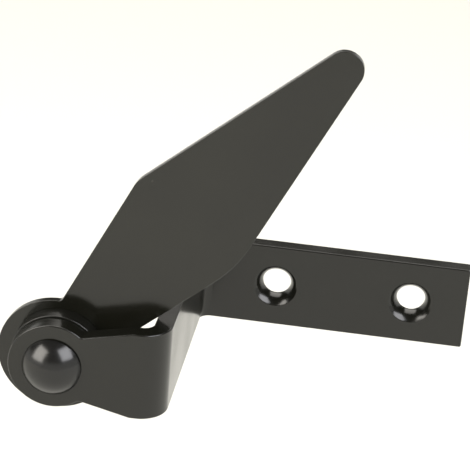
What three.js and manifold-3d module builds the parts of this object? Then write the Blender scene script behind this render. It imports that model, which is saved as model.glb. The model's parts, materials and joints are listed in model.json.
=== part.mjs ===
// Gravity gate latch: a flat bar bent into a Z, with a kite-shaped lever plate riveted behind its front tab.
// Millimetres, +Z up. The origin is on the back of the strap, midway between its two screw holes.
// +X runs along the strap away from the web, and +Y points into the post that the strap is screwed to.
import * as THREE from "three";
import { mergeVertices } from "three/addons/utils/BufferGeometryUtils.js";
import Module from "manifold-3d";

// The flat bar that the bracket is bent from.
const BAR_WIDTH = 25;
const BAR_THICK = 5;
const BEND_INSIDE_RADIUS = 3;
const EDGE_ROUND = 0.5; // the edges of the bar are rolled over by this much

// The bracket, seen from above: strap, web and tab.
const HOLE_SPACING = 40;
const HOLE_TO_STRAP_END = 16.3;
const HOLE_TO_WEB = 21.5; // from the inner screw hole to the outer face of the web
const BRACKET_DEPTH = 73; // from the back of the strap to the front of the tab

// The countersunk screw holes in the strap.
const SCREW_HOLE_RADIUS = 4.2;
const COUNTERSINK_RADIUS = 6.25;
const SCREW_HOLE_LAND = 1.3; // the straight part of the hole, at the back of the strap

// The tab, seen from the front: it tapers from the bend to a round eye about the pivot.
const PIVOT_TO_WEB = 25.8; // from the pivot to the inner face of the web
const TAB_EYE_RADIUS = 12;
const TAB_TAPER = 12.8; // degrees on each side
const TAPER_TO_BEND = 1.3; // full width between the start of the taper and the bend
const TAB_EYE_FILLET = 1.5;

// The rivet on the pivot, with the spacer in front of the lever and the washer behind it.
const SHANK_RADIUS = 5;
const RIVET_HEAD_RADIUS = 8;
const RIVET_HEAD_HEIGHT = 5;
const RIVET_RIM_HEIGHT = 0.5;
const TAIL_RADIUS = 7.5;
const TAIL_HEIGHT = 3;
const TAIL_FLAT_RADIUS = 4.5;
const SPACER_RADIUS = 12.5;
const SPACER_THICK = 5;
const WASHER_RADIUS = 10;
const WASHER_THICK = 1.6;
const WASHER_CHAMFER = 0.3;

// The lever plate: a round eye, edges that flare to a shoulder on each side and then taper to a round tip.
const LEVER_THICK = 2;
const LEVER_REACH = 116.5; // from the pivot to the end of the tip
const LEVER_EYE_RADIUS = 16;
const LEVER_EYE_SETBACK = 1.9; // the eye's centre is behind the pivot by this much
const LEVER_EYE_FILLET = 1.5;
const LEVER_EDGE_OFFSET = 6.7; // from the pivot to the line of each flared edge
const LEVER_FLARE = 11.5; // degrees on each side
const LEVER_TAPER = 11.7; // degrees on each side
const LEVER_UPPER_SHOULDER_RADIUS = 9;
const LEVER_LOWER_SHOULDER_RADIUS = 36;
const LEVER_TIP_RADIUS = 5;
const LEVER_EDGE_ROUND = 0.3;

// Clearances.
const SEAT_GAP = 0.1; // between pieces that are clamped together
const SIDE_PLAY = 0.2; // on each side of the lever, so that it swings freely
const SHANK_FIT = 0.1; // around the shank in the tab, the spacer and the washer
const LEVER_FIT = 0.25; // around the shank in the lever
const REST_GAP = 0.65; // between the lever's edge and the web's rounded corner that it rests on

// How finely round shapes are cut.
const ARC_STEP = 7.5; // degrees
const ROUND_SEGMENTS = 360 / ARC_STEP;
const EDGE_SEGMENTS = 2;
const CUT_MARGIN = 1; // how far a cutting solid reaches past the face that it cuts

// Places that follow from those sizes. The bar's web and tab are on the -X side of the strap.
const strapEndX = HOLE_SPACING / 2 + HOLE_TO_STRAP_END;
const webOuterX = -HOLE_SPACING / 2 - HOLE_TO_WEB;
const webInnerX = webOuterX - BAR_THICK;
const pivotX = webInnerX - PIVOT_TO_WEB;
const bendOutsideRadius = BEND_INSIDE_RADIUS + BAR_THICK;
const tabFrontY = -BRACKET_DEPTH;
const tabBackY = tabFrontY + BAR_THICK;
const spacerFrontY = tabBackY + SEAT_GAP;
const spacerBackY = spacerFrontY + SPACER_THICK;
const leverFrontY = spacerBackY + SIDE_PLAY;
const leverBackY = leverFrontY + LEVER_THICK;
const washerFrontY = leverBackY + SIDE_PLAY;
const washerBackY = washerFrontY + WASHER_THICK;
const tailFrontY = washerBackY + SEAT_GAP;
const headBackY = tabFrontY - SEAT_GAP;

const { degToRad, radToDeg } = THREE.MathUtils;
const wasm = await Module();
wasm.setup();

// Points along an arc, both ends included, at most ARC_STEP apart. Angles are in degrees.
function arc(centreX, centreY, radius, from, to) {
  const steps = Math.max(2, Math.ceil(Math.abs(to - from) / ARC_STEP));
  return Array.from({ length: steps + 1 }, (_, i) => {
    const angle = degToRad(from + ((to - from) * i) / steps);
    return new THREE.Vector2(centreX + radius * Math.cos(angle), centreY + radius * Math.sin(angle));
  });
}

// Half of an outline about the X axis, from the far left of a round eye, over a fillet, to the point where a
// straight edge starts. The edge runs at the angle flare, at edgeOffset from the origin, and the eye's centre
// is at x = -setback.
function eyeHalf(eyeRadius, setback, edgeOffset, flare, fillet) {
  const across = edgeOffset - setback * Math.sin(degToRad(flare)) + fillet;
  const along = Math.sqrt((eyeRadius + fillet) ** 2 - across ** 2);
  const centre = new THREE.Vector2(along, across).rotateAround(new THREE.Vector2(), degToRad(flare));
  const meets = flare + radToDeg(Math.atan2(across, along));
  return [
    ...arc(-setback, 0, eyeRadius, 180, meets),
    ...arc(centre.x - setback, centre.y, fillet, meets - 180, flare - 90).slice(1),
  ];
}

// A closed shape from the half above the X axis and the half below it, both drawn above it from left to right.
function closed(upper, lower) {
  const below = lower.filter((p) => p.y > 1e-6).map((p) => new THREE.Vector2(p.x, -p.y));
  return new THREE.Shape([...below, ...upper.toReversed()]);
}

// Extrudes a shape by depth with both rims rounded by round, from z = 0.
function plate(shape, depth, round) {
  return new THREE.ExtrudeGeometry(shape, {
    depth: depth - 2 * round,
    bevelEnabled: round > 0,
    bevelThickness: round,
    bevelSize: round,
    bevelOffset: -round,
    bevelSegments: EDGE_SEGMENTS,
    curveSegments: ROUND_SEGMENTS / 2,
  }).translate(0, 0, round);
}

// Turns a profile of [radius, y] pairs about the Y axis. The pairs run towards +Y.
function turned(pairs) {
  return new THREE.LatheGeometry(pairs.map(([radius, y]) => new THREE.Vector2(radius, y)), ROUND_SEGMENTS);
}

// A flat ring about the Y axis, with its four corners chamfered.
function ring(inner, outer, front, back, chamfer) {
  return turned([
    [inner, front + chamfer],
    [inner + chamfer, front],
    [outer - chamfer, front],
    [outer, front + chamfer],
    [outer, back - chamfer],
    [outer - chamfer, back],
    [inner + chamfer, back],
    [inner, back - chamfer],
    [inner, front + chamfer],
  ]);
}

function solid(geometry) {
  const bare = new THREE.BufferGeometry();
  bare.setAttribute("position", geometry.getAttribute("position"));
  bare.setIndex(geometry.index);
  const merged = mergeVertices(bare, 1e-4);
  return new wasm.Manifold(
    new wasm.Mesh({
      numProp: 3,
      vertProperties: merged.attributes.position.array,
      triVerts: new Uint32Array(merged.index.array),
    }),
  );
}

function geometryOf(manifold) {
  const mesh = manifold.getMesh();
  const indexed = new THREE.BufferGeometry();
  indexed.setAttribute("position", new THREE.BufferAttribute(mesh.vertProperties, 3));
  indexed.setIndex(new THREE.BufferAttribute(mesh.triVerts, 1));
  const flat = indexed.toNonIndexed();
  flat.computeVertexNormals();
  return flat;
}

// The bent bar seen from above, in X and Y.
function barPath() {
  const rearX = webOuterX + BEND_INSIDE_RADIUS;
  const rearY = -BAR_THICK - BEND_INSIDE_RADIUS;
  const frontX = webInnerX - BEND_INSIDE_RADIUS;
  const frontY = tabBackY + BEND_INSIDE_RADIUS;
  const tabEndX = pivotX - TAB_EYE_RADIUS - CUT_MARGIN;
  return new THREE.Shape([
    new THREE.Vector2(strapEndX, -BAR_THICK),
    new THREE.Vector2(strapEndX, 0),
    ...arc(rearX, rearY, bendOutsideRadius, 90, 180),
    ...arc(frontX, frontY, BEND_INSIDE_RADIUS, 0, -90),
    new THREE.Vector2(tabEndX, tabBackY),
    new THREE.Vector2(tabEndX, tabFrontY),
    ...arc(frontX, frontY, bendOutsideRadius, -90, 0),
    ...arc(rearX, rearY, BEND_INSIDE_RADIUS, 180, 90),
  ]);
}

// The bracket's outline seen from the front, about the pivot: the tab's eye and taper, then clear of the bar.
function frontOutline() {
  const taperStart = PIVOT_TO_WEB - BEND_INSIDE_RADIUS - TAPER_TO_BEND;
  const taper = degToRad(TAB_TAPER);
  const edgeOffset = (BAR_WIDTH / 2) * Math.cos(taper) - taperStart * Math.sin(taper);
  const clear = BAR_WIDTH / 2 + CUT_MARGIN;
  const half = [
    ...eyeHalf(TAB_EYE_RADIUS, 0, edgeOffset, TAB_TAPER, TAB_EYE_FILLET),
    new THREE.Vector2(taperStart, BAR_WIDTH / 2),
    new THREE.Vector2(taperStart, clear),
    new THREE.Vector2(strapEndX - pivotX + CUT_MARGIN, clear),
  ];
  return closed(half, half);
}

// A drill with a countersink, about the Y axis: it enters the strap's front face.
function countersinkDrill() {
  const slope = (COUNTERSINK_RADIUS - SCREW_HOLE_RADIUS) / (BAR_THICK - SCREW_HOLE_LAND);
  return turned([
    [0, -BAR_THICK - CUT_MARGIN],
    [COUNTERSINK_RADIUS + CUT_MARGIN * slope, -BAR_THICK - CUT_MARGIN],
    [SCREW_HOLE_RADIUS, -SCREW_HOLE_LAND],
    [SCREW_HOLE_RADIUS, CUT_MARGIN],
    [0, CUT_MARGIN],
  ]);
}

function bracket() {
  const bar = solid(plate(barPath(), BAR_WIDTH, EDGE_ROUND).translate(0, 0, -BAR_WIDTH / 2));
  const outline = plate(frontOutline(), BRACKET_DEPTH + 2 * CUT_MARGIN, 0)
    .rotateX(Math.PI / 2)
    .translate(pivotX, CUT_MARGIN, 0);
  const rivetHole = turned([
    [0, tabFrontY - CUT_MARGIN],
    [SHANK_RADIUS + SHANK_FIT, tabFrontY - CUT_MARGIN],
    [SHANK_RADIUS + SHANK_FIT, tabBackY + CUT_MARGIN],
    [0, tabBackY + CUT_MARGIN],
  ]).translate(pivotX, 0, 0);
  let made = bar.intersect(solid(outline)).subtract(solid(rivetHole));
  for (const side of [-1, 1]) {
    made = made.subtract(solid(countersinkDrill().translate((side * HOLE_SPACING) / 2, 0, 0)));
  }
  return geometryOf(made);
}

// The angle above +X at which the lever's lower edge comes to rest on the web's upper inner corner.
function leverRestAngle() {
  const roundX = PIVOT_TO_WEB + EDGE_ROUND;
  const roundZ = BAR_WIDTH / 2 - EDGE_ROUND;
  const clearance = LEVER_EDGE_OFFSET + REST_GAP + EDGE_ROUND;
  const edgeAngle = Math.atan2(roundZ, roundX) + Math.asin(clearance / Math.hypot(roundX, roundZ));
  return edgeAngle + degToRad(LEVER_FLARE);
}

// Where the flared edge meets the tapered edge, in the lever's own frame with its axis along X.
function leverShoulder() {
  const flare = degToRad(LEVER_FLARE);
  const taper = degToRad(LEVER_TAPER);
  const tipX = LEVER_REACH - LEVER_TIP_RADIUS;
  const flareHeight = LEVER_EDGE_OFFSET / Math.cos(flare);
  const taperHeight = LEVER_TIP_RADIUS / Math.cos(taper) + tipX * Math.tan(taper);
  const x = (taperHeight - flareHeight) / (Math.tan(flare) + Math.tan(taper));
  return new THREE.Vector2(x, flareHeight + x * Math.tan(flare));
}

// Half of the lever's outline. The shoulder's rounding is centred on the line that halves its angle.
function leverHalf(shoulderRadius) {
  const shoulder = leverShoulder();
  const half = degToRad((LEVER_FLARE + LEVER_TAPER) / 2);
  const lean = degToRad((LEVER_FLARE - LEVER_TAPER) / 2);
  const down = shoulderRadius / Math.cos(half);
  const roundX = shoulder.x + down * Math.sin(lean);
  const roundY = shoulder.y - down * Math.cos(lean);
  return [
    ...eyeHalf(LEVER_EYE_RADIUS, LEVER_EYE_SETBACK, LEVER_EDGE_OFFSET, LEVER_FLARE, LEVER_EYE_FILLET),
    ...arc(roundX, roundY, shoulderRadius, 90 + LEVER_FLARE, 90 - LEVER_TAPER),
    ...arc(LEVER_REACH - LEVER_TIP_RADIUS, 0, LEVER_TIP_RADIUS, 90 - LEVER_TAPER, 0),
  ];
}

function leverShape() {
  const shape = closed(leverHalf(LEVER_UPPER_SHOULDER_RADIUS), leverHalf(LEVER_LOWER_SHOULDER_RADIUS));
  shape.holes.push(new THREE.Path(arc(0, 0, SHANK_RADIUS + LEVER_FIT, 0, 360 - ARC_STEP)));
  return shape;
}

// The plate lies in X and Z, with its front face on y = 0 and its thickness towards +Y, at its rest angle.
function latchLever() {
  return plate(leverShape(), LEVER_THICK, LEVER_EDGE_ROUND)
    .rotateZ(leverRestAngle())
    .rotateX(Math.PI / 2)
    .translate(0, LEVER_THICK, 0);
}

// One turned rivet about the Y axis: a domed head in front, the shank, and a flattened tail behind.
function pivotRivet() {
  const domeHeight = RIVET_HEAD_HEIGHT - RIVET_RIM_HEIGHT;
  const domeRadius = (RIVET_HEAD_RADIUS ** 2 + domeHeight ** 2) / (2 * domeHeight);
  const domeCentreY = headBackY - RIVET_HEAD_HEIGHT + domeRadius;
  const rimAngle = radToDeg(Math.atan2(headBackY - RIVET_RIM_HEIGHT - domeCentreY, RIVET_HEAD_RADIUS));
  const dome = arc(0, domeCentreY, domeRadius, -90, rimAngle);
  return turned([
    [0, headBackY - RIVET_HEAD_HEIGHT],
    ...dome.slice(1).map((p) => [p.x, p.y]),
    [RIVET_HEAD_RADIUS, headBackY],
    [SHANK_RADIUS, headBackY],
    [SHANK_RADIUS, tailFrontY],
    [TAIL_RADIUS, tailFrontY],
    [TAIL_RADIUS, tailFrontY + TAIL_HEIGHT / 3],
    [TAIL_FLAT_RADIUS, tailFrontY + TAIL_HEIGHT],
    [0, tailFrontY + TAIL_HEIGHT],
  ]);
}

function coatedSteel(color, roughness) {
  return new THREE.MeshStandardMaterial({ color, roughness, metalness: 0 });
}

const latch = new THREE.Group();

function add(name, geometry, material, x, y) {
  const mesh = new THREE.Mesh(geometry, material);
  mesh.name = name;
  mesh.position.set(x, y, 0);
  latch.add(mesh);
}

const ringBore = SHANK_RADIUS + SHANK_FIT;
const spacer = ring(ringBore, SPACER_RADIUS, spacerFrontY, spacerBackY, WASHER_CHAMFER);
const washer = ring(ringBore, WASHER_RADIUS, washerFrontY, washerBackY, WASHER_CHAMFER);

add("bracket", bracket(), coatedSteel("#434340", 0.45), 0, 0);
add("latch_lever", latchLever(), coatedSteel("#46463f", 0.4), pivotX, leverFrontY);
add("spacer_washer", spacer, coatedSteel("#3a3a36", 0.45), pivotX, 0);
add("back_washer", washer, coatedSteel("#3a3a36", 0.45), pivotX, 0);
add("pivot_rivet", pivotRivet(), coatedSteel("#24262a", 0.2), pivotX, 0);

export default latch;
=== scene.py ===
"""Gravity gate latch: the finished surfaces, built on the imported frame. Metres, +Z up, +X along the strap.

A flat bar bent into a Z carries a kite-shaped lever plate between its tab and a back washer, on one rivet.
Shapes are worked out in millimetres and turned to metres when a mesh is made.
"""
import json
import math

import bmesh
import bpy
import numpy as np
from mathutils import Matrix, Vector


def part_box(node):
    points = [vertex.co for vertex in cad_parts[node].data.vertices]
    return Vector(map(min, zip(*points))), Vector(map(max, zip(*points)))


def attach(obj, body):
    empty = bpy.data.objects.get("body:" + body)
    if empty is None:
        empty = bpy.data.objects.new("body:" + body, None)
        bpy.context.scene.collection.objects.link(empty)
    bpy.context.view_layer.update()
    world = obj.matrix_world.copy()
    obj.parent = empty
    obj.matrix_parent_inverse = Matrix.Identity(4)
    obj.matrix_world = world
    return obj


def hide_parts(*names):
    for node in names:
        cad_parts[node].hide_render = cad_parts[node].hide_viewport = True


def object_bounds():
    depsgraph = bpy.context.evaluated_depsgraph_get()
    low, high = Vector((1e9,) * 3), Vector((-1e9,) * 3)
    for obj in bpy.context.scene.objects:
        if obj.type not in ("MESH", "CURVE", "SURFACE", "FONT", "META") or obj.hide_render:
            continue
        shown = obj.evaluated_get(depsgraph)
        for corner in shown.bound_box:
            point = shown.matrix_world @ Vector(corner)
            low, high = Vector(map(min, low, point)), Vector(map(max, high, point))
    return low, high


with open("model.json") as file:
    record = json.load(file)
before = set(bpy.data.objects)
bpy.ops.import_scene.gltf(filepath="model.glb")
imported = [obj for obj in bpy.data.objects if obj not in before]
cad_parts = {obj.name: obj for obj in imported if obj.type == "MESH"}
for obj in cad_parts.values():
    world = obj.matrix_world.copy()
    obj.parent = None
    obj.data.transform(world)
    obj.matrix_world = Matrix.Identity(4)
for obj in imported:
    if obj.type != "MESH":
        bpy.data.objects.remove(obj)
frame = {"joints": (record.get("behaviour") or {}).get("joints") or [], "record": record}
cad_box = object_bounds()

MM = 0.001

# Bar and bends.
BAR_THICK = 5.0
BEND_INSIDE_RADIUS = 3.0
BAR_EDGE_ROUND = 0.4     # the rolled edge of the bar
CUT_EDGE_ROUND = 0.35    # a sheared or stamped edge under its coat
STRAP_CORNER_RADIUS = 0.6
# Screw holes.
HOLE_SPACING = 40.0
HOLE_RADIUS = 4.2
# Tab.
TAB_TAPER = 12.8
TAPER_TO_BEND = 1.3
EYE_FILLET = 1.5
# Rivet.
SHANK_RADIUS = 5.0
HEAD_SKIRT = 0.5
TAIL_RADIUS = 7.5
TAIL_FLAT_RADIUS = 4.5
# Lever.
LEVER_REACH = 116.5
LEVER_EYE_RADIUS = 16.0
LEVER_EYE_SETBACK = 1.9
LEVER_EDGE_OFFSET = 6.7
LEVER_FLARE = 11.5
LEVER_TAPER = 11.7
LEVER_UPPER_SHOULDER = 9.0
LEVER_LOWER_SHOULDER = 36.0
LEVER_TIP_RADIUS = 5.0
LEVER_EDGE_ROUND = 0.18
# Clearances around the shank.
SHANK_FIT = 0.1
LEVER_FIT = 0.25

ARC_STEP = 3.0           # degrees between points on an arc
RUN_STEP = 2.0           # millimetres between points on a straight
CORNER_STEPS = 6         # points across one rounded edge
TURN_STEPS = 144         # points round a turned piece
FACE_RINGS = 10          # rings of faces from a hole to an outline

# Screw seat, from its mouth at the front face to the back of the strap.
BELL_RADIUS = 5.5
BELL_END = 172           # degrees, where 180 would be straight into the hole
HOLE_LAND = 1.3          # the straight part at the back
LIP_RADIUS = 0.35        # between the face and the bell
FOOT_RADIUS = 0.15       # at the back face

FLOOR_DROP = 0.085       # metres from the resting latch to the floor, so that the lever can hang down


def box_mm(node):
    low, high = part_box(node)
    return np.array(low) / MM, np.array(high) / MM


joint = next(j for j in frame["joints"] if j["name"] == "lever_pivot")
mounts = {m["name"]: m for m in frame["record"]["mounts"]}
bar_low, bar_high = box_mm("bracket")
half_width = bar_high[2]
half_thick = BAR_THICK / 2
pivot_x = joint["pos_m"][0] / MM
web_inner_x = mounts["web_inner_face"]["pos_m"][0] / MM
tab_eye_radius = pivot_x - bar_low[0]
bend_middle_radius = BEND_INSIDE_RADIUS + half_thick
bend_length = bend_middle_radius * math.pi / 2
# Lengths along the middle of the bar, from the strap's end: strap, bend, web, bend, tab.
strap_length = bar_high[0] - (web_inner_x + BAR_THICK + BEND_INSIDE_RADIUS)
web_length = -bar_low[1] - 2 * (BAR_THICK + BEND_INSIDE_RADIUS)
tab_start = strap_length + 2 * bend_length + web_length
tab_length = web_inner_x - BEND_INSIDE_RADIUS - pivot_x
pivot_along = tab_start + tab_length


# ---------------------------------------------------------------------------------------------- curves

def arc(centre, radius, start, end, hollow=False):
    """Points on a circle from start to end degrees, each with the normal that points out of the material."""
    steps = max(2, math.ceil(abs(end - start) / ARC_STEP))
    turn = np.radians(np.linspace(start, end, steps + 1))
    out = np.stack([np.cos(turn), np.sin(turn)], 1)
    return np.hstack([np.asarray(centre) + radius * out, -out if hollow else out])


def eye_half(radius, setback, offset, flare, fillet):
    """Half of a plate's outline about +X: a round eye centred at -setback, then a hollow fillet that meets
    a straight edge. The edge leans by flare degrees and passes the origin at offset."""
    lean = math.radians(flare)
    across = offset - setback * math.sin(lean) + fillet
    along = math.sqrt((radius + fillet) ** 2 - across**2)
    centre = [
        along * math.cos(lean) - across * math.sin(lean) - setback,
        along * math.sin(lean) + across * math.cos(lean),
    ]
    meets = flare + math.degrees(math.atan2(across, along))
    eye = arc([-setback, 0], radius, 180, meets)
    return np.vstack([eye, arc(centre, fillet, meets - 180, flare - 90, hollow=True)[1:]])


def filled(points, step=RUN_STEP):
    """The same line with points added evenly along each stretch longer than step."""
    gaps = np.linalg.norm(np.diff(points[:, :2], axis=0), axis=1)
    counts = np.maximum(1, np.ceil(gaps / step)).astype(int)
    where = np.concatenate([i + np.arange(n) / n for i, n in enumerate(counts)] + [[len(points) - 1]])
    full = np.stack([np.interp(where, np.arange(len(points)), column) for column in points.T], 1)
    full[:, 2:4] /= np.linalg.norm(full[:, 2:4], axis=1, keepdims=True)
    return full


def mirrored(points):
    """The same line on the other side of the X axis, run backwards."""
    return points[::-1] * [1, -1, 1, -1]


def rounded(corners, radii):
    """An open line of legs with its inner corners turned into arcs. An arc of radius r starts and ends
    r * tan(half its turn) from the corner. Each point has the normal on the line's right-hand side."""
    legs = np.diff(corners, axis=0)
    ways = legs / np.linalg.norm(legs, axis=1, keepdims=True)
    rows = []
    for corner, radius, way, next_way in zip(corners[1:-1], radii, ways, ways[1:]):
        turn = math.atan2(way[0] * next_way[1] - way[1] * next_way[0], way @ next_way)
        reach = radius * math.tan(abs(turn) / 2)
        side = math.copysign(1, turn)
        start = corner - way * reach
        centre = start + side * radius * np.array([-way[1], way[0]])
        spread = np.linspace(0, turn, CORNER_STEPS)
        normal = np.array([way[1], -way[0]])
        normals = np.stack(
            [
                normal[0] * np.cos(spread) - normal[1] * np.sin(spread),
                normal[0] * np.sin(spread) + normal[1] * np.cos(spread),
            ],
            1,
        )
        rows.append(np.hstack([centre + side * radius * normals, normals]))
    return np.vstack(rows)


# -------------------------------------------------------------------------------- surfaces of a flat blank
# A blank lies in x and y with its front face at height +t/2. Each surface is a grid of points with normals,
# as an array of rows x columns x 6.

def flat_face(hole, outer, height):
    """The flat between a hole's ring and an outer loop: each point is on the straight line between them."""
    share = np.linspace(0, 1, FACE_RINGS + 1)[:, None, None]
    plane = hole + (outer - hole) * share
    rows, columns = plane.shape[:2]
    level = np.full((rows, columns, 1), height)
    up = np.broadcast_to([0, 0, math.copysign(1, height)], (rows, columns, 3))
    return np.concatenate([plane, level, up], 2)


def rim(outline, rounds, thick):
    """The edge of a blank: a quarter circle from the front face to the side, the side, and a quarter circle
    to the back. outline has points and normals, and rounds is each point's edge radius."""
    quarter = np.linspace(0, math.pi / 2, CORNER_STEPS)
    sine = np.concatenate([np.sin(quarter), np.sin(quarter)[::-1]])[:, None]
    cosine = np.concatenate([np.cos(quarter), -np.cos(quarter)[::-1]])[:, None]
    inset = (1 - sine) * rounds
    half = thick / 2
    front = np.arange(len(sine))[:, None] < CORNER_STEPS
    level = np.where(front, half - rounds * (1 - cosine), -half + rounds * (1 + cosine))
    plane = outline[None, :, :2] - inset[..., None] * outline[None, :, 2:4]
    normal = np.concatenate(
        [sine[..., None] * outline[None, :, 2:4], np.broadcast_to(cosine[..., None], (*level.shape, 1))], 2
    )
    return np.concatenate([plane, level[..., None], normal], 2)


def hole_wall(centre, spokes, profile):
    """A hole's wall: a profile of radius and height, with normals, carried round the spokes."""
    radius, level, out, up = (profile[:, i][:, None] for i in range(4))
    x = centre[0] + radius * spokes[:, 0]
    y = centre[1] + radius * spokes[:, 1]
    shape = x.shape
    height, facing = np.broadcast_to(level, shape), np.broadcast_to(up, shape)
    return np.stack([x, y, height, out * spokes[:, 0], out * spokes[:, 1], facing], 2)


def holed_cell(centre, wall, loop, thick):
    """One hole with the flat around it, front and back, out to a loop of points."""
    spokes = loop - centre
    spokes = spokes / np.linalg.norm(spokes, axis=1, keepdims=True)
    front_ring = centre + wall[0, 0] * spokes
    back_ring = centre + wall[-1, 0] * spokes
    return [
        flat_face(front_ring, loop, thick / 2),
        hole_wall(centre, spokes, wall),
        flat_face(back_ring, loop, -thick / 2),
    ]


def straight_wall(radius, thick, edge):
    """The profile of a plain drilled hole with both rims broken."""
    half = thick / 2
    return rounded(
        np.array([[radius + 2, half], [radius, half], [radius, -half], [radius + 2, -half]]), [edge, edge]
    )


# ------------------------------------------------------------------------------------------ mesh making

def made_piece(name, grids, place, body, material, node):
    """Welds the grids into one closed mesh and gives it its worked-out normals. place turns points and
    normals from the piece's own frame to the latch's, in millimetres."""
    vertices, normals, faces, first = [], [], [], 0
    for grid in grids:
        rows, columns = grid.shape[:2]
        points, directions = place(grid[..., :3].reshape(-1, 3), grid[..., 3:].reshape(-1, 3))
        number = first + np.arange(rows * columns).reshape(rows, columns)
        ring = [number[:-1, :-1], number[:-1, 1:], number[1:, 1:], number[1:, :-1]]
        faces.append(np.stack(ring, -1).reshape(-1, 4))
        vertices.append(points)
        normals.append(directions)
        first += rows * columns
    mesh = bpy.data.meshes.new(name)
    mesh.from_pydata(np.vstack(vertices) * MM, [], np.vstack(faces))
    kept = mesh.attributes.new("worked_normal", "FLOAT_VECTOR", "POINT")
    kept.data.foreach_set("vector", np.vstack(normals).astype(np.float32).ravel())
    work = bmesh.new()
    work.from_mesh(mesh)
    bmesh.ops.remove_doubles(work, verts=work.verts, dist=0.002 * MM)
    bmesh.ops.recalc_face_normals(work, faces=work.faces)
    work.to_mesh(mesh)
    work.free()
    mesh.polygons.foreach_set("use_smooth", np.ones(len(mesh.polygons), bool))
    directions = np.zeros(len(mesh.vertices) * 3, np.float32)
    mesh.attributes["worked_normal"].data.foreach_get("vector", directions)
    mesh.normals_split_custom_set_from_vertices(directions.reshape(-1, 3))
    mesh.attributes.remove(mesh.attributes["worked_normal"])
    mesh.materials.append(material)
    piece = bpy.data.objects.new(name, mesh)
    bpy.context.scene.collection.objects.link(piece)
    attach(piece, body)
    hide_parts(node)
    return piece


# ------------------------------------------------------------------------------------------ the bracket

def bent(points, normals):
    """Bends the blank: x runs along the bar's middle line, which goes straight, round a quarter circle to
    the left, straight, round a quarter circle to the right, and straight again. Height stands off it."""
    along, across, height = points.T
    rear = np.clip(along - strap_length, 0, bend_length) / bend_middle_radius
    front = np.clip(along - strap_length - bend_length - web_length, 0, bend_length) / bend_middle_radius
    strap_run = np.minimum(along, strap_length)
    web_run = np.clip(along - strap_length - bend_length, 0, web_length)
    tab_run = np.maximum(along - tab_start, 0)
    heading = math.pi + rear - front
    way = np.stack([np.cos(heading), np.sin(heading)], 1)
    left = np.stack([-way[:, 1], way[:, 0]], 1)
    x = bar_high[0] - strap_run - tab_run - bend_middle_radius * (np.sin(rear) + 1 - np.cos(front))
    y = -half_thick - web_run - bend_middle_radius * (np.sin(front) + 1 - np.cos(rear))
    plane = np.stack([x, y], 1) + height[:, None] * left
    turned = normals[:, :1] * way + normals[:, 2:] * left
    return (
        np.column_stack([plane, across]),
        np.column_stack([turned, normals[:, 1]]),
    )


def cross_cut(along, half):
    """The points across the bar at one place along it, where two parts of the blank meet."""
    across = np.linspace(-half, half, 17)
    return np.column_stack([np.full(17, along), across])


def screw_hole_wall():
    """A bell-mouthed seat that steepens from the face to a short straight land. The bell is an arc that stops
    just short of upright at the land, and a smaller arc inside it rounds the edge with the face."""
    steep = math.radians(BELL_END)
    middle = HOLE_RADIUS - BELL_RADIUS * math.cos(steep)
    level = HOLE_LAND - half_thick - BELL_RADIUS * math.sin(steep)
    lip_level = half_thick - LIP_RADIUS
    turn = math.pi - math.asin((lip_level - level) / (BELL_RADIUS - LIP_RADIUS))
    lip_middle = middle + (BELL_RADIUS - LIP_RADIUS) * math.cos(turn)
    lip = arc([lip_middle, lip_level], LIP_RADIUS, 90, math.degrees(turn))
    bell = arc([middle, level], BELL_RADIUS, math.degrees(turn), BELL_END)
    foot = arc([HOLE_RADIUS + FOOT_RADIUS, FOOT_RADIUS - half_thick], FOOT_RADIUS, 180, 270)
    return np.vstack([lip, bell[1:], foot])


def bar_edges(start, end, step):
    """The two straight edges of the bar between two places: the one at +y run forwards."""
    count = max(2, math.ceil((end - start) / step) + 1)
    along = np.linspace(start, end, count)
    upper = np.column_stack([along, np.full(count, half_width), np.zeros(count), np.ones(count)])
    return upper, mirrored(upper)


def inner(outline, rounds):
    return outline[:, :2] - rounds[:, None] * outline[:, 2:4]


def strap_part(start, end, hole_along, grids):
    """A length of the strap around one screw hole."""
    upper, lower = bar_edges(start, end, RUN_STEP)
    flat_half = half_width - BAR_EDGE_ROUND
    upper_flat = inner(upper, np.full(len(upper), BAR_EDGE_ROUND))
    lower_flat = inner(lower, np.full(len(lower), BAR_EDGE_ROUND))
    loop = np.vstack([upper_flat, cross_cut(end, flat_half)[::-1][1:], lower_flat[1:],
                      cross_cut(start, flat_half)[1:]])
    grids += holed_cell(np.array([hole_along, 0.0]), screw_hole_wall(), loop, BAR_THICK)
    for edge in (upper, lower):
        grids.append(rim(edge, np.full(len(edge), BAR_EDGE_ROUND), BAR_THICK))


def strap_end(end, hole_along, grids):
    """The strap's end with its two rounded corners, out to a cut across the bar."""
    radius = STRAP_CORNER_RADIUS
    upper, _ = bar_edges(radius, end, RUN_STEP)
    corner = arc([radius, half_width - radius], radius, 180, 90)
    half_outline = np.vstack([corner[:-1], upper])
    outline = filled(np.vstack([mirrored(half_outline), half_outline]))
    rounds = np.full(len(outline), BAR_EDGE_ROUND)
    flat = inner(outline, rounds)
    loop = np.vstack([flat, cross_cut(end, half_width - BAR_EDGE_ROUND)[::-1][1:]])
    grids += holed_cell(np.array([hole_along, 0.0]), screw_hole_wall(), loop, BAR_THICK)
    grids.append(rim(outline, rounds, BAR_THICK))


def plain_part(stations, grids):
    """A length of the bar with no hole in it: front, back and the two edges."""
    cut = cross_cut(0, half_width - BAR_EDGE_ROUND)[:, 1]
    along, across = np.meshgrid(stations, cut, indexing="ij")
    for height in (half_thick, -half_thick):
        level = np.full(along.shape, height)
        up = np.full(along.shape, math.copysign(1, height))
        nothing = np.zeros(along.shape)
        grids.append(np.stack([along, across, level, nothing, nothing, up], 2))
    count = len(stations)
    upper = np.column_stack([stations, np.full(count, half_width), np.zeros(count), np.ones(count)])
    for edge in (upper, mirrored(upper)):
        grids.append(rim(edge, np.full(count, BAR_EDGE_ROUND), BAR_THICK))


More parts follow.
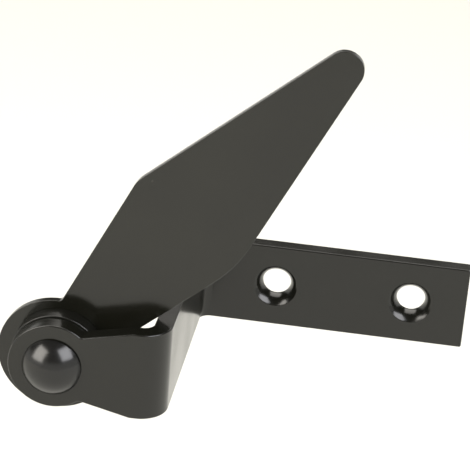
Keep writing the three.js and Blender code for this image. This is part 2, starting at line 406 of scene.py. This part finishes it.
def tab_part(start, grids):
    """The tab: two edges that taper from the bend, a fillet on each, and the round eye about the rivet."""
    taper = math.radians(TAB_TAPER)
    taper_start = tab_length - TAPER_TO_BEND
    offset = half_width * math.cos(taper) - taper_start * math.sin(taper)
    half = eye_half(tab_eye_radius, 0, offset, TAB_TAPER, EYE_FILLET)
    corner = [taper_start, half_width, -math.sin(taper / 2), math.cos(taper / 2)]
    half = filled(np.vstack([half, [corner], [[tab_length, half_width, 0, 1]]]))
    half = half * [-1, 1, -1, 1] + [pivot_along, 0, 0, 0]
    outline = np.vstack([half[::-1], mirrored(half[::-1])[1:]])
    # The rolled edge of the bar ends where the taper is cut, and the cut edge past it is sharper.
    past = np.clip((outline[:, 0] - start) / TAPER_TO_BEND, 0, 1)
    rounds = BAR_EDGE_ROUND + (CUT_EDGE_ROUND - BAR_EDGE_ROUND) * past
    flat = inner(outline, rounds)
    loop = np.vstack([flat, cross_cut(start, half_width - BAR_EDGE_ROUND)[1:]])
    wall = straight_wall(SHANK_RADIUS + SHANK_FIT, BAR_THICK, 0.3)
    grids += holed_cell(np.array([pivot_along, 0.0]), wall, loop, BAR_THICK)
    grids.append(rim(outline, rounds, BAR_THICK))


def bracket(material):
    grids = []
    far_hole = bar_high[0] - HOLE_SPACING / 2
    near_hole = far_hole + HOLE_SPACING
    between = (far_hole + near_hole) / 2
    strap_cut = near_hole + (between - far_hole) * 0.6
    strap_end(between, far_hole, grids)
    strap_part(between, strap_cut, near_hole, grids)
    bend_steps = 20
    rear = np.linspace(strap_length, strap_length + bend_length, bend_steps)
    front = rear + bend_length + web_length
    web = np.linspace(rear[-1], front[0], 24)
    before = np.linspace(strap_cut, strap_length, 4)
    stations = np.concatenate([before[:-1], rear, web[1:-1], front])
    plain_part(stations, grids)
    tab_part(tab_start, grids)
    return made_piece("bent_bar_bracket", grids, bent, "bracket_body", material, "bracket")


# -------------------------------------------------------------------------------------------- the lever

def lever_half(shoulder_radius):
    """Half of the lever's outline: eye, fillet, flared edge, rounded shoulder, tapered edge and round tip."""
    flare, taper = math.radians(LEVER_FLARE), math.radians(LEVER_TAPER)
    flare_height = LEVER_EDGE_OFFSET / math.cos(flare)
    tip_x = LEVER_REACH - LEVER_TIP_RADIUS
    taper_height = LEVER_TIP_RADIUS / math.cos(taper) + tip_x * math.tan(taper)
    corner_x = (taper_height - flare_height) / (math.tan(flare) + math.tan(taper))
    corner_y = flare_height + corner_x * math.tan(flare)
    down = shoulder_radius / math.cos((flare + taper) / 2)
    lean = (flare - taper) / 2
    centre = [corner_x + down * math.sin(lean), corner_y - down * math.cos(lean)]
    eye = eye_half(LEVER_EYE_RADIUS, LEVER_EYE_SETBACK, LEVER_EDGE_OFFSET, LEVER_FLARE, EYE_FILLET)
    shoulder = arc(centre, shoulder_radius, 90 + LEVER_FLARE, 90 - LEVER_TAPER)
    tip = arc([tip_x, 0], LEVER_TIP_RADIUS, 90 - LEVER_TAPER, 0)
    return np.vstack([eye, shoulder, tip])


def lever(material):
    low, high = box_mm("latch_lever")
    thick = high[1] - low[1]
    middle_y = (high[1] + low[1]) / 2
    lower_half = mirrored(lever_half(LEVER_LOWER_SHOULDER))
    outline = filled(np.vstack([lever_half(LEVER_UPPER_SHOULDER), lower_half[1:]]))
    rounds = np.full(len(outline), LEVER_EDGE_ROUND)
    wall = straight_wall(SHANK_RADIUS + LEVER_FIT, thick, LEVER_EDGE_ROUND)
    grids = holed_cell(np.zeros(2), wall, inner(outline, rounds), thick)
    grids.append(rim(outline, rounds, thick))
    # The lever stops evenly above and below the web, so its rest angle is half of what its travel leaves.
    rest = math.radians((360 - joint["range_deg"][1]) / 2)
    turn = np.array([[math.cos(rest), 0, math.sin(rest)], [-math.sin(rest), 0, math.cos(rest)], [0, -1, 0]])

    def place(points, normals):
        return points @ turn + [pivot_x, middle_y, 0], normals @ turn

    return made_piece("lever_plate", grids, place, "lever_body", material, "latch_lever")


# ------------------------------------------------------------------------------------- turned pieces

def turned(profile):
    """A profile of radius and height in front of the origin, carried round the rivet's axis."""
    turn = np.linspace(0, 2 * math.pi, TURN_STEPS + 1)
    spokes = np.stack([np.cos(turn), np.sin(turn)], 1)
    return hole_wall([0, 0], spokes, profile)


def on_axis(points, normals):
    facing = np.array([[1, 0, 0], [0, 0, 1], [0, -1, 0]])
    return points @ facing + [pivot_x, 0, 0], normals @ facing


def washer(name, node, edge, material):
    """A flat ring with all four of its corners rounded."""
    low, high = box_mm(node)
    outer = (high[0] - low[0]) / 2
    bore = SHANK_RADIUS + SHANK_FIT
    front, back = -low[1], -high[1]
    middle = (bore + outer) / 2
    line = [[middle, front], [bore, front], [bore, back], [outer, back], [outer, front], [middle, front]]
    ring = rounded(np.array(line), [edge] * 4)
    closed = np.vstack([ring, ring[:1]])
    return made_piece(name, [turned(closed)], on_axis, "bracket_body", material, node)


def rivet(material):
    """One solid: a flattened tail, the shank, and a head whose dome is part of a sphere on a short skirt."""
    low, high = box_mm("pivot_rivet")
    washer_low, washer_high = box_mm("back_washer")
    head_radius = (high[0] - low[0]) / 2
    seat = -bar_low[1] + SHANK_FIT
    crown = -low[1]
    tail_end = -high[1]
    tail_seat = -washer_high[1] - SHANK_FIT
    dome_base = seat + HEAD_SKIRT
    dome_height = crown - dome_base
    dome_radius = (head_radius**2 + dome_height**2) / (2 * dome_height)
    centre = crown - dome_radius
    low_angle = math.degrees(math.atan2(dome_base - centre, head_radius))
    dome = arc([0, centre], dome_radius, low_angle + 1.0, 90)
    slope = (TAIL_RADIUS - TAIL_FLAT_RADIUS) * 0.5
    line = [
        [0, tail_end],
        [TAIL_FLAT_RADIUS, tail_end],
        [TAIL_RADIUS - 0.3, tail_end + slope],
        [TAIL_RADIUS, tail_seat],
        [SHANK_RADIUS, tail_seat],
        [SHANK_RADIUS, seat],
        [head_radius, seat],
        [head_radius, dome_base],
        [head_radius - 0.55, dome_base + 0.8],
    ]
    body = rounded(np.array(line), [2.0, 0.8, 0.3, 0.2, 0.2, 0.2, 0.3])
    tail_middle = [[0, tail_end, 0, -1]]
    profile = np.vstack([tail_middle, body, dome])
    return made_piece("round_head_rivet", [turned(profile)], on_axis, "bracket_body", material,
                      "pivot_rivet")


# ------------------------------------------------------------------------------------------- materials

def linear(colour):
    """An sRGB hex colour as linear RGBA."""
    parts = [int(colour[i : i + 2], 16) / 255 for i in (1, 3, 5)]
    return [p / 12.92 if p <= 0.04045 else ((p + 0.055) / 1.055) ** 2.4 for p in parts] + [1.0]


def add(tree, kind, inputs=None, **settings):
    """Adds one node. An input is given a link if its value is a socket, and else the value itself."""
    made = tree.nodes.new(kind)
    for key, value in settings.items():
        setattr(made, key, value)
    for key, value in (inputs or {}).items():
        if isinstance(value, bpy.types.NodeSocket):
            tree.links.new(value, made.inputs[key])
        else:
            made.inputs[key].default_value = value
    return made


def smooth_step(tree, value, low, high, to_low, to_high):
    """A value eased from one range into another, and held at its ends."""
    inputs = {"Value": value, "From Min": low, "From Max": high, "To Min": to_low, "To Max": to_high}
    return add(tree, "ShaderNodeMapRange", inputs, interpolation_type="SMOOTHSTEP").outputs["Result"]


def per_metre(millimetres):
    """A texture's scale for a pattern that repeats every so many millimetres."""
    return 1 / (millimetres * MM)


def coat(name, colour, thin, rough, peel_mm, peel_height, grain_height, nib_share, rub):
    """Baked coat on steel. Orange peel is a low wave in the surface, grain is the powder's own fine texture,
    nibs are specks of dust baked in, and rub marks are faint lighter strokes left by handling."""
    material = bpy.data.materials.new(name)
    material.use_nodes = True
    tree = material.node_tree
    tree.nodes.clear()
    place = add(tree, "ShaderNodeTexCoord").outputs["Object"]

    def noise(size_mm, detail, where=place):
        inputs = {"Vector": where, "Scale": per_metre(size_mm), "Detail": detail, "Roughness": 0.5}
        return add(tree, "ShaderNodeTexNoise", inputs).outputs["Fac"]

    def shaped(value, low, high, to_low, to_high):
        return smooth_step(tree, value, low, high, to_low, to_high)

    def product(first, second):
        return add(tree, "ShaderNodeMath", {0: first, 1: second}, operation="MULTIPLY").outputs[0]

    # Coat thickness varies over a few centimetres, and shows as a slight change of tone.
    drift = noise(28, 2)
    tone = add(tree, "ShaderNodeMix", {"Factor": shaped(drift, 0.3, 0.7, 0, 1), 6: linear(colour),
                                       7: linear(thin)}, data_type="RGBA")
    # Dust nibs: one cell in a few holds a speck a fraction of a millimetre across.
    cells = add(tree, "ShaderNodeTexVoronoi", {"Vector": place, "Scale": per_metre(7), "Randomness": 1.0})
    chosen = shaped(add(tree, "ShaderNodeSeparateColor", {0: cells.outputs["Color"]}).outputs[0],
                    1 - nib_share - 0.01, 1 - nib_share, 0, 1)
    speck = shaped(cells.outputs["Distance"], 0.03, 0.06, 1, 0)
    nib = product(chosen, speck)
    # Rub marks: noise drawn out along one direction, kept only where a wide noise lets it through.
    long_way = add(tree, "ShaderNodeMapping", {"Vector": place, "Rotation": (0.4, 0.7, 0.5),
                                               "Scale": (0.06, 1.0, 1.0)}).outputs[0]
    stroke = shaped(noise(0.9, 1, long_way), 0.68, 0.78, 0, rub)
    marks = product(stroke, shaped(noise(16, 1), 0.52, 0.66, 0, 1))
    light = add(tree, "ShaderNodeMath", {0: product(nib, 0.5), 1: marks}, operation="MAXIMUM").outputs[0]
    colour_mix = add(tree, "ShaderNodeMix", {"Factor": light, 6: tone.outputs[2], 7: linear("#8b887e")},
                     data_type="RGBA")
    # Roughness drifts with the coat, and rub marks are duller.
    dull = shaped(noise(19, 2), 0.3, 0.7, rough - 0.03, rough + 0.03)
    duller = add(tree, "ShaderNodeMath", {0: dull, 1: product(marks, 0.3)}, operation="ADD").outputs[0]
    peel = add(tree, "ShaderNodeBump", {"Height": noise(peel_mm, 1), "Strength": 1.0,
                                        "Distance": peel_height * MM}).outputs[0]
    # The powder's grain is about 0.1 mm, and is drawn at 0.4 mm so that it shows.
    grain = add(tree, "ShaderNodeBump", {"Height": noise(0.4, 1), "Strength": 1.0,
                                         "Distance": grain_height * MM, "Normal": peel}).outputs[0]
    nibs = add(tree, "ShaderNodeBump", {"Height": nib, "Strength": 1.0, "Distance": 0.03 * MM,
                                        "Normal": grain}).outputs[0]
    shader = add(tree, "ShaderNodeBsdfPrincipled", {
        "Base Color": colour_mix.outputs[2], "Roughness": duller, "Normal": nibs, "IOR": 1.46, "Metallic": 0.0,
    })
    add(tree, "ShaderNodeOutputMaterial", {"Surface": shader.outputs[0]})
    return material


def powder_coated_bar():
    """Satin black polyester powder on hot-rolled flat bar: a soft sheen, with a low wave from the bar."""
    return coat("satin_powder_coat_on_rolled_bar", "#0d0d09", "#10100c", 0.21, 2.4, 0.006, 0.0010, 0.06, 0.02)


def powder_coated_plate():
    """The same powder on cold-rolled sheet: smoother under the coat, so its reflections are clearer."""
    return coat("satin_powder_coat_on_sheet_steel", "#10100c", "#14140f", 0.15, 2.0, 0.004, 0.0008, 0.12, 0.02)


def powder_coated_washers():
    """The same powder on turned washers, a little duller all over than on the bar."""
    return coat("satin_powder_coat_on_washers", "#0f0f0c", "#12120f", 0.27, 1.6, 0.006, 0.0010, 0.06, 0.04)


def enamelled_rivet():
    """Gloss black enamel on a forged rivet head: thin and flowed out, with soft-edged highlights."""
    return coat("gloss_black_enamel_on_rivet", "#10100f", "#131312", 0.22, 2.6, 0.005, 0.0004, 0.06, 0.05)


# ------------------------------------------------------------------------------------ floor and lights

def plain(name, colour):
    """A matt surface."""
    material = bpy.data.materials.new(name)
    material.use_nodes = True
    tree = material.node_tree
    tree.nodes.clear()
    shader = add(tree, "ShaderNodeBsdfDiffuse", {"Color": linear(colour)})
    add(tree, "ShaderNodeOutputMaterial", {"Surface": shader.outputs[0]})
    return material


def card(name, corners, material):
    """A flat piece of the stage from its corners, in metres."""
    mesh = bpy.data.meshes.new(name)
    mesh.from_pydata(corners, [], [list(range(len(corners)))])
    mesh.materials.append(material)
    made = bpy.data.objects.new(name, mesh)
    bpy.context.scene.collection.objects.link(made)
    return made


def softbox(name, direction, distance, width, height, power, colour):
    """A square light that looks at the middle of the latch."""
    data = bpy.data.lights.new(name, "AREA")
    data.shape = "RECTANGLE"
    data.size, data.size_y = width, height
    data.energy = power
    data.color = linear(colour)[:3]
    light = bpy.data.objects.new(name, data)
    way = Vector(direction).normalized()
    light.location = studio_centre + way * distance
    light.rotation_mode = "QUATERNION"
    light.rotation_quaternion = way.to_track_quat("Z", "Y")
    bpy.context.scene.collection.objects.link(light)
    return light


def studio():
    floor_z = cad_box[0].z - FLOOR_DROP
    card("floor", [(-0.9, -0.75, floor_z), (0.9, -0.75, floor_z), (0.9, 1.2, floor_z),
                   (-0.9, 1.2, floor_z)], plain("pale_matt_floor", "#d2d2cc"))
    softbox("left_softbox", (-0.685, -0.54, 0.48), 1.3, 0.9, 0.95, 25, "#fffaf2")
    softbox("right_softbox", (0.63, -0.43, 0.64), 1.3, 0.95, 0.95, 25, "#fbfbff")
    softbox("rear_softbox", (-0.05, 0.56, 0.82), 1.6, 1.55, 1.5, 26, "#fffbf4")


def surroundings():
    """A dark room with a pale backdrop low down all round, which fades out above."""
    world = bpy.data.worlds.new("room")
    bpy.context.scene.world = world
    world.use_nodes = True
    tree = world.node_tree
    tree.nodes.clear()
    way = add(tree, "ShaderNodeTexCoord").outputs["Generated"]
    z = add(tree, "ShaderNodeSeparateXYZ", {0: way}).outputs["Z"]
    level = smooth_step(tree, z, 0.15, 0.32, 1.0, 0.04)
    glow = add(tree, "ShaderNodeBackground", {"Color": linear("#fffef8"), "Strength": level})
    add(tree, "ShaderNodeOutputWorld", {"Surface": glow.outputs[0]})


def camera():
    """Looks down at the latch from in front and a little to the right, with a slight roll."""
    azimuth, elevation, roll = (math.radians(v) for v in (5.8636, 23.4083, 4.6215))
    back = Vector((math.sin(azimuth) * math.cos(elevation), -math.cos(azimuth) * math.cos(elevation),
                   math.sin(elevation)))
    level_right = Vector((math.cos(azimuth), math.sin(azimuth), 0))
    level_up = back.cross(level_right)
    right = level_right * math.cos(roll) + level_up * math.sin(roll)
    up = level_up * math.cos(roll) - level_right * math.sin(roll)
    aim = Vector((-0.03217, -0.005, 0.0003))
    place = aim + back * 0.5593 + up * 0.01334
    data = bpy.data.cameras.new("camera")
    data.lens = 144.46
    data.sensor_width = 36
    data.clip_start, data.clip_end = 0.05, 20
    made = bpy.data.objects.new("camera", data)
    turn = Matrix((right, up, back)).transposed().to_4x4()
    made.matrix_world = Matrix.Translation(place) @ turn
    bpy.context.scene.collection.objects.link(made)
    bpy.context.scene.camera = made


studio_centre = Vector(((cad_box[0].x + cad_box[1].x) / 2, (cad_box[0].y + cad_box[1].y) / 2, 0.02))
camera()
bracket(powder_coated_bar())
lever(powder_coated_plate())
washer_coat = powder_coated_washers()
washer("spacer_ring", "spacer_washer", 0.2, washer_coat)
washer("back_ring", "back_washer", 0.3, washer_coat)
rivet(enamelled_rivet())
studio()
surroundings()
bpy.context.scene.view_settings.view_transform = "Standard"
